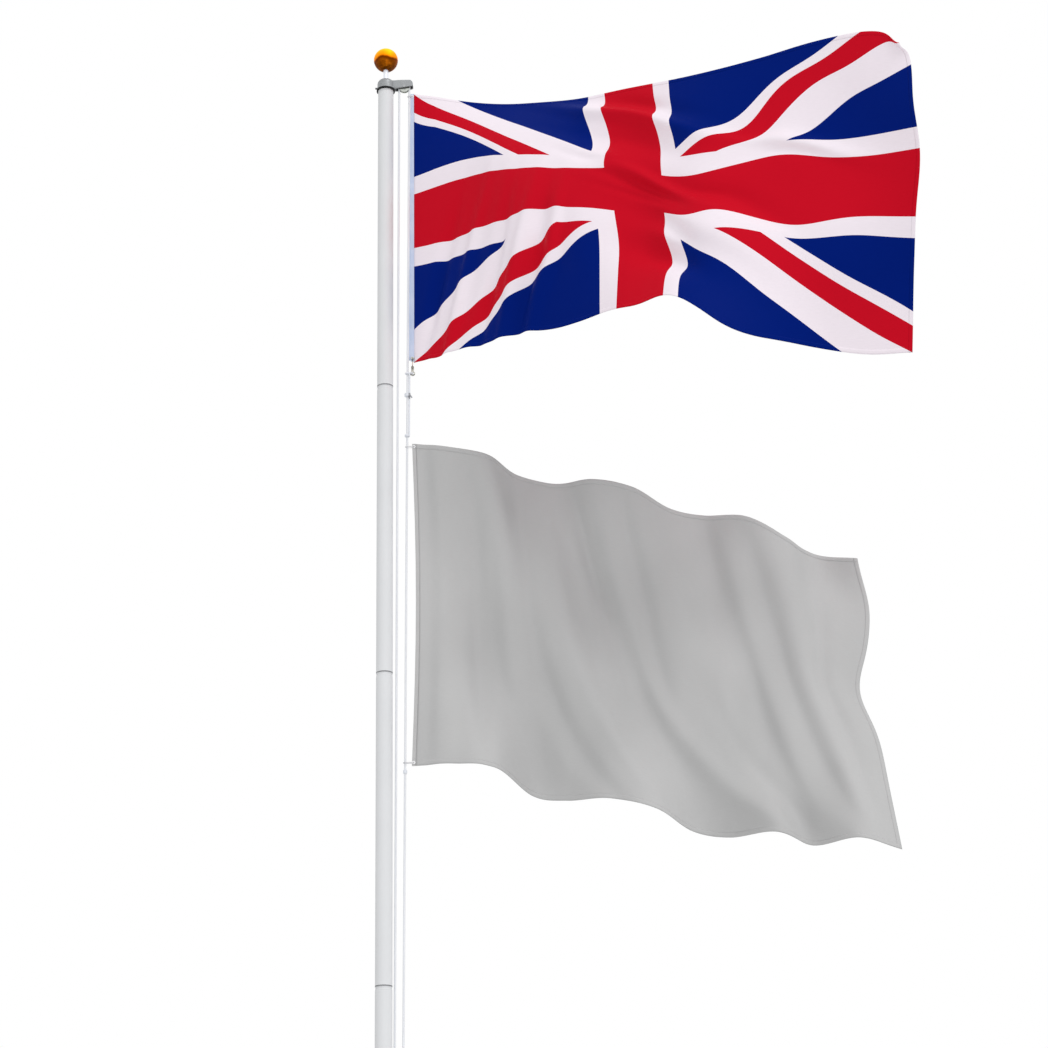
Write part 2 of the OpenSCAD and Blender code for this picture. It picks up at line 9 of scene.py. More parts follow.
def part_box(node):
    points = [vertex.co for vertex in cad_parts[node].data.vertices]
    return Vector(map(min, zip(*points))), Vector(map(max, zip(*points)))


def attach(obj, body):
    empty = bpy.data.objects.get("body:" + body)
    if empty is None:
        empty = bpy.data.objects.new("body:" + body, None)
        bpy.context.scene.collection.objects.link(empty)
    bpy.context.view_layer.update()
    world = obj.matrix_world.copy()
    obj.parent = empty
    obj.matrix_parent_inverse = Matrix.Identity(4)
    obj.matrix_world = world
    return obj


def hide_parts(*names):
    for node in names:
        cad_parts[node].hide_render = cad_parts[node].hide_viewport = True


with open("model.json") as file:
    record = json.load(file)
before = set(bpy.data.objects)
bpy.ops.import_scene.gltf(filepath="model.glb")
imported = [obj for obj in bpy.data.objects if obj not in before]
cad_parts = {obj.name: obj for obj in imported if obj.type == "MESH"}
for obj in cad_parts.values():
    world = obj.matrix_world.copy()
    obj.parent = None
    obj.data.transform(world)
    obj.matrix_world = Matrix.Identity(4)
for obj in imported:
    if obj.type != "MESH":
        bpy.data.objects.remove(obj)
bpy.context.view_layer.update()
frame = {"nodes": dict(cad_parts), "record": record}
nodes = frame["nodes"]

TURN = 2 * math.pi
UNION_L, UNION_H, UNION_HEM = 1.952, 0.976, 0.014
GREY_L, GREY_H, GREY_HEM = 1.74, 1.045, 0.016


# Node helpers
def linear(r, g, b):
    """A colour given in 0-255 screen values, as linear values."""
    def channel(c):
        return c / 255 / 12.92 if c <= 10 else ((c / 255 + 0.055) / 1.055) ** 2.4

    return channel(r), channel(g), channel(b), 1.0


class Wire:
    """A socket with arithmetic, so that a pattern reads like a formula."""

    def __init__(self, graph, socket):
        self.graph, self.socket = graph, socket

    def op(self, kind, other=None, third=None):
        return self.graph.math(kind, self, other, third)

    def __add__(self, o): return self.op("ADD", o)
    def __sub__(self, o): return self.op("SUBTRACT", o)
    def __rsub__(self, o): return self.graph.math("SUBTRACT", o, self)
    def __mul__(self, o): return self.op("MULTIPLY", o)
    def __rmul__(self, o): return self.op("MULTIPLY", o)
    def __lt__(self, o): return self.op("LESS_THAN", o)
    def __gt__(self, o): return self.op("GREATER_THAN", o)
    def abs(self): return self.op("ABSOLUTE")
    def sin(self): return self.op("SINE")
    def fract(self): return self.op("FRACT")
    def max(self, o): return self.op("MAXIMUM", o)
    def min(self, o): return self.op("MINIMUM", o)


class Graph:
    """A material's node tree with one Principled shader."""

    def __init__(self, name):
        self.mat = bpy.data.materials.new(name)
        self.mat.use_nodes = True
        self.tree = self.mat.node_tree
        self.shader = self.tree.nodes["Principled BSDF"]

    def node(self, kind, **values):
        n = self.tree.nodes.new(kind)
        for k, v in values.items():
            setattr(n, k, v)
        return n

    def link(self, a, b):
        self.tree.links.new(a.socket if isinstance(a, Wire) else a, b)

    def feed(self, socket, value):
        if isinstance(value, (Wire, bpy.types.NodeSocket)):
            self.link(value, socket)
        else:
            socket.default_value = value

    def math(self, kind, a, b=None, c=None):
        n = self.node("ShaderNodeMath", operation=kind)
        for i, value in enumerate((a, b, c)):
            if value is not None:
                self.feed(n.inputs[i], value)
        return Wire(self, n.outputs[0])

    def place(self, kind="Object"):
        return self.node("ShaderNodeTexCoord").outputs[kind]

    def xyz(self, vector):
        n = self.node("ShaderNodeSeparateXYZ")
        self.link(vector, n.inputs[0])
        return [Wire(self, s) for s in n.outputs]

    def scaled(self, vector, scale):
        n = self.node("ShaderNodeMapping")
        self.link(vector, n.inputs["Vector"])
        n.inputs["Scale"].default_value = scale
        return n.outputs[0]

    def noise(self, vector, scale, detail, rough):
        n = self.node("ShaderNodeTexNoise")
        self.link(vector, n.inputs["Vector"])
        n.inputs["Scale"].default_value = scale
        n.inputs["Detail"].default_value = detail
        n.inputs["Roughness"].default_value = rough
        return Wire(self, n.outputs["Fac"])

    def cells(self, vector, scale):
        n = self.node("ShaderNodeTexVoronoi", feature="SMOOTH_F1")
        self.link(vector, n.inputs["Vector"])
        n.inputs["Scale"].default_value = scale
        return Wire(self, n.outputs["Distance"])

    def mix(self, factor, a, b):
        n = self.node("ShaderNodeMix", data_type="RGBA")
        self.feed(n.inputs[0], factor)
        self.feed(n.inputs[6], a)
        self.feed(n.inputs[7], b)
        return Wire(self, n.outputs[2])

    def ramp(self, factor, stops):
        n = self.node("ShaderNodeValToRGB")
        self.link(factor, n.inputs[0])
        e = n.color_ramp.elements
        while len(e) < len(stops):
            e.new(0.5)
        for i, (at, colour) in enumerate(stops):
            e[i].position = at
            e[i].color = colour if len(colour) == 4 else tuple(colour) + (1.0,)
        return Wire(self, n.outputs[0])

    def span(self, value, a, b, lo=0.0, hi=1.0):
        n = self.node("ShaderNodeMapRange")
        self.link(value, n.inputs["Value"])
        for key, v in (("From Min", a), ("From Max", b), ("To Min", lo), ("To Max", hi)):
            n.inputs[key].default_value = v
        return Wire(self, n.outputs[0])

    def bump(self, height, strength, distance, under=None):
        n = self.node("ShaderNodeBump")
        self.feed(n.inputs["Height"], height)
        n.inputs["Strength"].default_value = strength
        n.inputs["Distance"].default_value = distance
        if under is not None:
            self.link(under, n.inputs["Normal"])
        return n.outputs[0]

    def done(self, colour, rough, metal=0.0, normal=None, **more):
        self.feed(self.shader.inputs["Base Color"], colour)
        self.feed(self.shader.inputs["Roughness"], rough)
        self.feed(self.shader.inputs["Metallic"], metal)
        if normal is not None:
            self.link(normal, self.shader.inputs["Normal"])
        for key, value in more.items():
            self.shader.inputs[key.replace("_", " ").title().replace("Ior", "IOR")].default_value = value
        return self.mat


# Materials
SECTION_PITCH = 0.951
JOINTS_FROM, JOINTS_TO = 0.5, 5.0
JOINT_SHIFT, JOINT_SHADOW_H = 0.0004, 0.0034


def pole_material():
    """Drawn tube, with a painted shadow line at each joint that shows and two faint grooves under it."""
    g = Graph("pole_tube")
    at = g.place()
    drawn = g.noise(g.scaled(at, (60, 60, 1.2)), 9, 4, 0.6)
    cloud = g.noise(at, 7, 3, 0.5)
    speck = g.noise(at, 900, 2, 0.5)
    tone = g.span(drawn, 0.3, 0.7, -0.012, 0.012) + g.span(cloud, 0.3, 0.7, -0.015, 0.015)
    colour = g.ramp(tone + 0.5, [(0.46, (0.69, 0.70, 0.715)), (0.54, (0.745, 0.755, 0.77))])
    x, y, z = g.xyz(at)
    above = ((z - JOINT_SHIFT) * (1 / SECTION_PITCH)).fract() * SECTION_PITCH
    jointed = (z > JOINTS_FROM) * (z < JOINTS_TO)
    below = (SECTION_PITCH - above).abs()
    groove = g.span((below - 0.0055).abs(), 0.0012, 0.0004)
    groove += g.span((below - 0.0105).abs(), 0.0012, 0.0004)
    # Painted shadow: a near-black band on the lowest few millimetres of each section above a joint, where
    # the rim is in shade.
    colour = g.mix((above < JOINT_SHADOW_H) * jointed * 0.75, colour, (0.05, 0.05, 0.055, 1.0))
    colour = g.mix(groove * 0.18 * jointed, colour, (0.30, 0.31, 0.32, 1.0))
    rough = g.span(drawn, 0.3, 0.7, 0.55, 0.65)
    normal = g.bump(drawn, 0.06, 0.0004)
    normal = g.bump(speck, 0.04, 0.0002, normal)
    return g.done(colour, rough, 0.04, normal, specular_ior_level=0.08)


SLOT_HALF_W, ARM_X, ARM_Z = 0.0101, 0.036, 5.8665


def enamel_material():
    """Hammered enamel, with painted shade within the arm's slot."""
    g = Graph("grey_enamel")
    at = g.place()
    cells = g.cells(at, 330)
    fine = g.noise(at, 700, 3, 0.6)
    cloud = g.noise(at, 60, 3, 0.5)
    colour = g.ramp(cells * 0.8 + cloud * 0.3, [(0.25, (0.35, 0.365, 0.375)), (0.75, (0.27, 0.28, 0.29))])
    x, y, z = g.xyz(at)
    # Painted shade: the enamel is darkened almost to black within the arm's slot.
    painted_slot_shade = (y.abs() < SLOT_HALF_W) * (x > ARM_X) * (z < ARM_Z)
    colour = g.mix(painted_slot_shade * 0.85, colour, (0.01, 0.01, 0.012, 1.0))
    normal = g.bump(cells, 0.30, 0.0008)
    normal = g.bump(fine, 0.10, 0.0003, normal)
    return g.done(colour, g.span(cells, 0, 0.8, 0.36, 0.48), 0.35, normal)


def metal_material(name, light, dark, rough, scale=400, bump=0.05):
    g = Graph(name)
    at = g.place()
    n1 = g.noise(at, scale, 4, 0.6)
    n2 = g.noise(at, scale / 12, 3, 0.5)
    colour = g.mix(g.span(n2 * 0.6 + n1 * 0.4, 0.35, 0.65), dark, light)
    normal = g.bump(n1, bump, 0.0004)
    return g.done(colour, g.span(n2, 0.3, 0.7, rough * 0.85, rough * 1.2), 1.0, normal)


DARK_BAND_FROM, DARK_BAND_TO = 4.7, 5.5


def hook_material():
    """Plated hooks and rings, darker and blotchy on the upper flag's hardware."""
    g = Graph("hook_metal")
    at = g.place()
    x, y, z = g.xyz(at)
    n1, n2 = g.noise(at, 300, 4, 0.6), g.noise(at, 120, 3, 0.5)
    tone = g.span(n2 * 0.6 + n1 * 0.4, 0.35, 0.65)
    bright = g.mix(tone, (0.60, 0.60, 0.62, 1.0), (0.85, 0.85, 0.86, 1.0))
    dull = g.mix(g.span(n2, 0.42, 0.58), (0.10, 0.11, 0.10, 1.0), (0.72, 0.70, 0.62, 1.0))
    # Between these heights the hooks and rings are given a darker, blotchy colour.
    darker_band = (z > DARK_BAND_FROM) * (z < DARK_BAND_TO)
    rough = g.span(n2, 0.3, 0.7, 0.18, 0.26)
    return g.done(g.mix(darker_band, bright, dull), rough, 1.0, g.bump(n1, 0.06, 0.0004))


SPINDLE_Z, SCREW_X, SCREW_Z = 5.866, -0.026, 5.0


def steel_material():
    """Bright plated steel at the spindle, duller at the rivet and dark at the set screw."""
    g = Graph("steel")
    at = g.place()
    x, y, z = g.xyz(at)
    n1, n2 = g.noise(at, 400, 4, 0.6), g.noise(at, 33, 3, 0.5)
    tone = g.span(n2 * 0.6 + n1 * 0.4, 0.35, 0.65)
    colour = g.mix(tone, (0.30, 0.31, 0.32, 1.0), (0.40, 0.41, 0.42, 1.0))
    bright = g.mix(tone, (0.80, 0.83, 0.90, 1.0), (0.90, 0.92, 0.97, 1.0))
    colour = g.mix(z > SPINDLE_Z, colour, bright)
    colour = g.mix((x < SCREW_X) * (z > SCREW_Z), colour, (0.10, 0.10, 0.11, 1.0))
    return g.done(colour, g.span(n2, 0.3, 0.7, 0.40, 0.50), 0.6, g.bump(n1, 0.05, 0.0004))


def ball_material():
    """Gilt with a painted reflection: bright above a wavy line and brown below it, with amber patches
    there and a darker lower left.
    """
    g = Graph("gold_ball")
    at = g.place()
    lo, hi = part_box("finial_ball")
    mid, r = (lo + hi) / 2, (hi.z - lo.z) / 2
    x, y, z = g.xyz(at)
    wave = g.noise(g.scaled(at, (34, 34, 12)), 1, 2, 0.4)
    height = (z - mid.z) * (1 / r) + g.span(wave, 0.3, 0.7, -0.10, 0.10)
    # Painted reflection: yellow above a wavy line and brown below it, in place of bright sky and dark
    # ground.
    colour = g.ramp(height * 0.5 + 0.5, [
        (0.00, linear(92, 46, 2)), (0.16, linear(128, 66, 2)), (0.28, linear(142, 72, 6)),
        (0.37, linear(112, 44, 0)), (0.41, linear(168, 82, 0)), (0.45, linear(236, 140, 8)),
        (0.50, linear(254, 160, 8)), (0.64, linear(254, 178, 8)), (0.78, linear(255, 208, 20)),
        (1.00, linear(255, 222, 60))])
    side = (x - mid.x) * (1 / r)
    blot = g.noise(g.scaled(at, (1, 1, 1.6)), 70, 3, 0.6)
    # Painted reflection: amber patches on the lower right of the brown half.
    reflection_patch = g.span((side - 0.20).abs(), 0.46, 0.12) * g.span((height + 0.66).abs(), 0.24, 0.08)
    reflection_patch = reflection_patch * g.span(blot, 0.35, 0.60)
    # Painted reflection: the lower left is darker still.
    dark = g.span(side, -0.55, -0.95) * g.span(height, -0.10, -0.35)
    colour = g.mix(reflection_patch * 0.9, colour, linear(214, 124, 20))
    colour = g.mix(dark * 0.7, colour, linear(84, 36, 2))
    # Painted reflection: orange blotches within the brown half.
    reflection_blotches = g.span(blot, 0.50, 0.70) * g.span(height, -0.05, -0.25)
    colour = g.mix(reflection_blotches * 0.45, colour, linear(196, 106, 10))
    n = g.noise(at, 90, 3, 0.5)
    return g.done(colour, g.span(n, 0.3, 0.7, 0.58, 0.66), 1.0, g.bump(n, 0.04, 0.0006))


def plastic_material(name, light, rough):
    """Moulded plastic with a fine grain, its colour given as three linear values."""
    g = Graph(name)
    at = g.place()
    grain = g.noise(at, 500, 3, 0.6)
    cloud = g.noise(at, 20, 3, 0.5)
    dark = tuple(v * 0.8 for v in light)
    colour = g.mix(g.span(cloud, 0.35, 0.65), dark + (1.0,), light + (1.0,))
    return g.done(colour, rough, 0.0, g.bump(grain, 0.12, 0.0003), specular_ior_level=0.12)


PLAIT_TURNS, PLAIT_PITCH = 8, 0.009
KNOT_X, KNOT_EDGE = 0.0745, 0.002


def rope_material(name, light, dark):
    """A plaited sheath: two sets of strands that wind opposite ways, from a map in turns and metres."""
    g = Graph(name)
    u, s, w = g.xyz(g.place("UV"))
    a = ((u * PLAIT_TURNS + s * (1 / PLAIT_PITCH)) * TURN).sin()
    b = ((u * PLAIT_TURNS - s * (1 / PLAIT_PITCH)) * TURN).sin()
    strands = a.max(b)
    fibre = g.noise(g.place(), 1500, 3, 0.6)
    soil = g.noise(g.place(), 6, 4, 0.6)
    colour = g.mix(g.span(strands, -0.2, 0.9), dark, light)
    colour = g.mix(g.span(soil, 0.4, 0.75, 0.0, 0.12), colour, dark)
    # Painted shade: the rope turns near-black beside the upper flag's knot, where it lies in shade.
    low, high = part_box("union_knot")
    x, y, z = g.xyz(g.place())
    knot = (z > low.z - KNOT_EDGE) * (z < high.z + KNOT_EDGE) * (x > KNOT_X)
    colour = g.mix(knot * 0.6, colour, (0.10, 0.10, 0.11, 1.0))
    normal = g.bump(strands, 0.6, 0.0006)
    normal = g.bump(fibre, 0.2, 0.0002, normal)
    return g.done(colour, 0.75, 0.0, normal, sheen_weight=0.2)


TAPE_WEAVE, CLOTH_WEAVE = 0.0016, 0.0011
STITCH_LENGTH, STITCH_SHARE, STITCH_EDGE, STITCH_HALF_W = 0.0042, 0.68, 0.0025, 0.0006


def tape_material(name, light, dark):
    """Woven tape."""
    g = Graph(name)
    at = g.place()
    x, y, z = g.xyz(at)
    weave = (z * (TURN / TAPE_WEAVE)).sin() + (x * (TURN / TAPE_WEAVE)).sin()
    cloud = g.noise(at, 30, 3, 0.5)
    colour = g.mix(g.span(cloud + weave * 0.1, 0.3, 0.8), dark, light)
    return g.done(colour, 0.8, 0.0, g.bump(weave, 0.35, 0.0003), sheen_weight=0.15)


RED, WHITE, BLUE = linear(203, 14, 36), linear(248, 238, 246), linear(0, 28, 117)


def cloth_finish(g, colour, u, v, length, height, hem, rough):
    """Weave, hem seam and stitches over a cloth's colour. u runs along the fly, v down, both as shares."""
    x, y = u * length, v * height
    weave = (x * (TURN / CLOTH_WEAVE)).sin() + (y * (TURN / CLOTH_WEAVE)).sin()
    slub = g.noise(g.scaled(g.place("UV"), (length * 3, height * 60, 1)), 12, 3, 0.6)
    edge = y.min(height - y).min(length - x)
    dash = ((x + y) * (1 / STITCH_LENGTH)).fract() < STITCH_SHARE
    inner = ((edge - (hem - STITCH_EDGE)).abs() < STITCH_HALF_W) * dash
    outer = ((edge - STITCH_EDGE).abs() < STITCH_HALF_W) * dash
    stitch = inner.max(outer)
    crease = g.span((edge - hem).abs(), 0.0, 0.0016, 1.0, 0.0)
    tone = g.span(slub, 0.3, 0.7, 0.0, 0.05)
    shade = g.mix(tone, colour, (0.0, 0.0, 0.0, 1.0))
    normal = g.bump(weave, 0.12, 0.00025)
    normal = g.bump(slub, 0.10, 0.0006, normal)
    normal = g.bump(stitch - crease, 0.06, 0.0003, normal)
    return g.done(shade, g.span(slub, 0.3, 0.7, rough - 0.05, rough + 0.06), 0.0, normal,
                  specular_ior_level=0.02)


def union_material():
    """The upper flag's pattern, in shares of its length and of its height."""
    g = Graph("flag_cloth")
    u, v, w = g.xyz(g.place("UV"))
    du, dv = (u - 0.5).abs(), (v - 0.5).abs()
    side = 1.0 - 2.0 * (u > 0.5)
    down, up = v - u, v + u - 1.0

    def within(value, low, high):
        return (value > low) * (value < high)

    cross_red = (du < 0.05).max(dv < 0.1)
    cross_white = (du < 0.0833).max(dv < 0.1667)
    arms_red = within(down * side, 0.0, 0.0745).max(within(up * side, 0.0, 0.0745))
    arms_white = (down.abs() < 0.1118).max(up.abs() < 0.1118)
    red = cross_red.max(arms_red * (1.0 - cross_white))
    white = cross_white.max(arms_white)
    colour = g.mix(red, g.mix(white, BLUE, WHITE), RED)
    return cloth_finish(g, colour, u, v, UNION_L, UNION_H, UNION_HEM, 0.55)


def grey_material():
    """Plain grey cloth."""
    g = Graph("grey_cloth")
    u, v, w = g.xyz(g.place("UV"))
    cloud = g.noise(g.place(), 3, 2, 0.5)
    colour = g.mix(g.span(cloud, 0.35, 0.65), linear(189, 189, 189), linear(194, 194, 194))
    return cloth_finish(g, colour, u, v, GREY_L, GREY_H, GREY_HEM, 0.7)


made = {
    "pole_tube": pole_material(),
    "grey_enamel": enamel_material(),
    "steel": steel_material(),
    "sheave_metal": metal_material(
        "sheave_metal", (0.64, 0.66, 0.62, 1), (0.42, 0.44, 0.41, 1), 0.35),
    "gold_ball": ball_material(),
    # On the cap's gasket this black is a dark ring put where there is only the shade under the cap's rim.
    "black_plastic": plastic_material("black_plastic", (0.02, 0.02, 0.022), 0.55),
    "grey_plastic": plastic_material("grey_plastic", (0.30, 0.31, 0.33), 0.6),
    "rope": rope_material("rope", (0.93, 0.94, 0.96, 1.0), (0.76, 0.79, 0.85, 1.0)),
    "cast_metal": metal_material(
        "cast_metal", (0.66, 0.67, 0.69, 1), (0.48, 0.49, 0.51, 1), 0.42, 260, 0.25),
    "flag_cloth": union_material(),
    "heading_tape": tape_material("heading_tape", linear(208, 217, 238), linear(188, 201, 228)),
    "grey_cloth": grey_material(),
    "grey_tape": tape_material("grey_tape", linear(193, 193, 193), linear(187, 187, 187)),
    "hook_metal": hook_material(),
}
for part in frame["record"]["subparts"]:
    o = nodes[part["node"]]
    o.data.materials.clear()
    o.data.materials.append(made[part["material_slot"]])


# Mesh helpers
def new_mesh(name, points, faces, uvs, slot_name):
    """A smooth mesh with its map and its material."""
    mesh = bpy.data.meshes.new(name)
    mesh.from_pydata([tuple(p) for p in points], [], faces)
    layer = mesh.uv_layers.new(name="UVMap")
    for loop in mesh.loops:
        layer.data[loop.index].uv = uvs[loop.vertex_index]
    mesh.polygons.foreach_set("use_smooth", [True] * len(mesh.polygons))
    mesh.update()
    o = bpy.data.objects.new(name, mesh)
    bpy.context.scene.collection.objects.link(o)
    mesh.materials.append(made[slot_name])
    return o


def blend(a, b, c, d, t):
    """A point at share t between b and c, on a smooth curve through all four."""
    square = (2 * a - 5 * b + 4 * c - d) * t * t
    cube = (3 * b - a - 3 * c + d) * t ** 3
    return 0.5 * (2 * b + (c - a) * t + square + cube)


def along(p, t):
    """The value at share t of a smooth curve through evenly spaced values."""
    n = len(p) - 1
    x = min(max(t * n, 0), n)
    i = min(int(x), n - 1)
    before = p[i - 1] if i > 0 else 2 * p[0] - p[1]
    after = p[i + 2] if i + 2 <= n else 2 * p[n] - p[n - 1]
    return blend(before, p[i], p[i + 1], after, x - i)


def tube(name, path, r, sides, slot_name, body):
    """A round cord in a closed loop. The map gives turns around it and metres along it."""
    n = len(path)
    at = lambda i: path[i % n]
    way = [(at(i + 1) - at(i - 1)).normalized() for i in range(n)]
    side = Vector((0.2, 1.0, 0.1))
    rings, s, lengths = [], 0.0, []
    for i in range(n + 1):
        t = way[i % n]
        side = (side - side.dot(t) * t).normalized()
        rings.append((at(i), side.copy(), t.cross(side)))
        lengths.append(s)
        s += (at(i + 1) - at(i)).length
    a0, a1, b1 = rings[0][1], rings[-1][1], rings[-1][2]
    twist = math.atan2(a0.dot(b1), a0.dot(a1))
    points, uvs, faces = [], [], []
    for i, (c, a, b) in enumerate(rings):
        for k in range(sides + 1):
            w = TURN * k / sides + twist * i / (len(rings) - 1)
            points.append(c + r * (math.cos(w) * a + math.sin(w) * b))
            uvs.append((k / sides, lengths[i]))
    row = sides + 1
    for i in range(len(rings) - 1):
        for k in range(sides):
            faces.append((i * row + k, i * row + k + 1, (i + 1) * row + k + 1, (i + 1) * row + k))
    o = new_mesh(name, points, faces, uvs, slot_name)
    bm = bmesh.new()
    bm.from_mesh(o.data)
    bmesh.ops.recalc_face_normals(bm, faces=bm.faces)
    bm.to_mesh(o.data)
    bm.free()
    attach(o, body)
    return o


# Halyard
POLE_R, STAND, SIDE, CLEAT_Z, CLEAT_L = 0.0254, 0.038, 0.0125, 1.2, 0.15
AXLE = Vector((0.0615, 0, 5.8455))
PITCH_R, ROPE_R = 0.01675, 0.0035
ROUTE_STEPS, TURN_STEPS, LEAD = 12, 18, 0.03
# The hitch on the cleat: out from the pole in stands, across in sides, and up in cleat lengths.
HITCH = [
    (0.60, 0, 0.73), (0.52, -0.10, 0.40), (0.52, -0.50, 0.27), (0.52, -0.95, 0.16),
    (0.52, -1, 0), (0.52, -1, -0.16), (0.52, -0.65, -0.28), (0.54, 0, -0.33),
    (0.60, 0.65, -0.31), (0.80, 1.20, -0.24), (1.12, 1.20, -0.15), (1.30, 0.72, -0.07),
    (1.33, 0, 0), (1.30, -0.72, 0.07), (1.12, -1.20, 0.15), (0.86, -1.20, 0.23),
    (0.71, -0.65, 0.29), (0.70, 0, 0.31), (0.71, 0.65, 0.29), (0.86, 1.20, 0.23),
    (1.12, 1.20, 0.15), (1.44, 0.80, 0.07), (1.56, 0, 0), (1.44, -0.80, -0.07),
    (1.12, -1.30, -0.15), (0.91, -1.20, -0.25), (0.65, -0.75, -0.37), (0.54, 0, -0.40),
    (0.49, 0.75, -0.37), (0.28, 1.05, -0.28), (0.27, 1.03, -0.16), (0.27, 1.03, 0),
    (0.27, 1.03, 0.16), (0.27, 0.95, 0.28), (0.14, 1.10, 0.45), (0.02, 1.20, 0.73)]
hitch = [Vector((POLE_R + x * STAND, y * SIDE, CLEAT_Z + z * CLEAT_L)) for x, y, z in HITCH]
hoist_top = AXLE + Vector((PITCH_R, 0, 0))
return_top = AXLE - Vector((PITCH_R, 0, 0))


def smoothed(p, first, last, n):
    """Points on a smooth curve through p that comes from first and goes on to last, n for each stretch."""
    before = p[0] + (first - p[0]).normalized() * LEAD
    after = p[-1] + (last - p[-1]).normalized() * LEAD
    ends = [before] + p + [after]
    out = []
    for i in range(1, len(ends) - 2):
        for k in range(n):
            out.append(blend(ends[i - 1], ends[i], ends[i + 1], ends[i + 2], k / n))
    return out + [p[-1]]


def hoist_at(z):
    """The place of the hoisting run at a height."""
    return hoist_top + (hitch[0] - hoist_top) * ((hoist_top.z - z) / (hoist_top.z - hitch[0].z))


route = smoothed(hitch, hoist_top, return_top, 5)
route += [route[-1] + (return_top - route[-1]) * k / ROUTE_STEPS for k in range(1, ROUTE_STEPS)]
angles = [math.pi * (1 - k / TURN_STEPS) for k in range(TURN_STEPS + 1)]
route += [AXLE + PITCH_R * Vector((math.cos(a), 0, math.sin(a))) for a in angles]
route += [hoist_top + (route[0] - hoist_top) * k / ROUTE_STEPS for k in range(1, ROUTE_STEPS)]
rope = tube("halyard_rope", route, ROPE_R, 14, "rope", "root")
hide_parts("halyard")


# Flags
# Four rows of stations from the top edge to the bottom edge, each from the hoist to the fly: how far
# they lie out from the heading, towards the camera and down, in hoists.
UPPER_OUT = [
    [0, 0.17, 0.345, 0.52, 0.71, 0.895, 1.11, 1.31, 1.515],
    [0, 0.19, 0.34, 0.515, 0.72, 0.89, 1.13, 1.335, 1.515],
    [0, 0.18, 0.34, 0.525, 0.74, 0.89, 1.09, 1.29, 1.515],
    [0, 0.17, 0.345, 0.53, 0.71, 0.87, 1.06, 1.275, 1.51]]
UPPER_FORE = [
    [0, 0.06, 0.15, 0.29, 0.44, 0.59, 0.72, 0.84, 0.97],
    [0, 0.15, 0.30, 0.43, 0.54, 0.66, 0.74, 0.83, 0.97],
    [0, 0.16, 0.35, 0.49, 0.58, 0.69, 0.76, 0.82, 0.84],
    [0, 0.18, 0.33, 0.49, 0.67, 0.79, 0.76, 0.69, 0.67]]
UPPER_DOWN = [
    [0, 0.07, 0.135, 0.205, 0.255, 0.305, 0.325, 0.335, 0.41],
    [0.32, 0.34, 0.41, 0.49, 0.545, 0.615, 0.64, 0.68, 0.72],
    [0.655, 0.71, 0.725, 0.77, 0.85, 0.92, 0.96, 1.005, 1.025],
    [1.005, 1.03, 1.06, 1.10, 1.12, 1.21, 1.30, 1.31, 1.31]]
LOWER_OUT = [
    [0, 0.10, 0.21, 0.305, 0.41, 0.53, 0.645, 0.755, 0.86, 0.975, 1.09, 1.19, 1.305],
    [0, 0.11, 0.22, 0.325, 0.42, 0.53, 0.65, 0.77, 0.875, 0.98, 1.095, 1.205, 1.325],
    [0, 0.11, 0.215, 0.325, 0.44, 0.555, 0.655, 0.77, 0.89, 0.995, 1.105, 1.22, 1.34],
    [0, 0.115, 0.23, 0.335, 0.435, 0.555, 0.68, 0.79, 0.90, 1.02, 1.13, 1.25, 1.37]]
LOWER_FORE = [
    [0, 0.045, 0.045, -0.05, -0.045, 0.05, 0.07, 0.005, -0.01, 0.06, 0.03, -0.065, -0.02],
    [0, -0.005, 0.018, 0.025, -0.006, -0.028, 0.006, 0.034, -0.006, 0.012, 0.028, 0, -0.024],
    [0, 0.010, -0.022, -0.006, 0.028, 0.006, -0.034, -0.006, 0.028, -0.022, 0.010, 0.018, -0.012],
    [0, 0.07, 0.10, -0.08, -0.08, 0, 0.03, -0.07, -0.11, -0.01, -0.06, 0.05, 0.02]]
LOWER_DOWN = [
    [0, 0.03, 0.055, 0.085, 0.12, 0.145, 0.18, 0.225, 0.245, 0.275, 0.33, 0.355, 0.385],
    [0.335, 0.36, 0.385, 0.415, 0.44, 0.47, 0.505, 0.545, 0.57, 0.59, 0.63, 0.655, 0.68],
    [0.667, 0.685, 0.71, 0.745, 0.765, 0.785, 0.82, 0.865, 0.885, 0.90, 0.935, 0.95, 0.98],
    [1, 1.015, 1.035, 1.075, 1.09, 1.105, 1.145, 1.19, 1.20, 1.21, 1.24, 1.245, 1.275]]

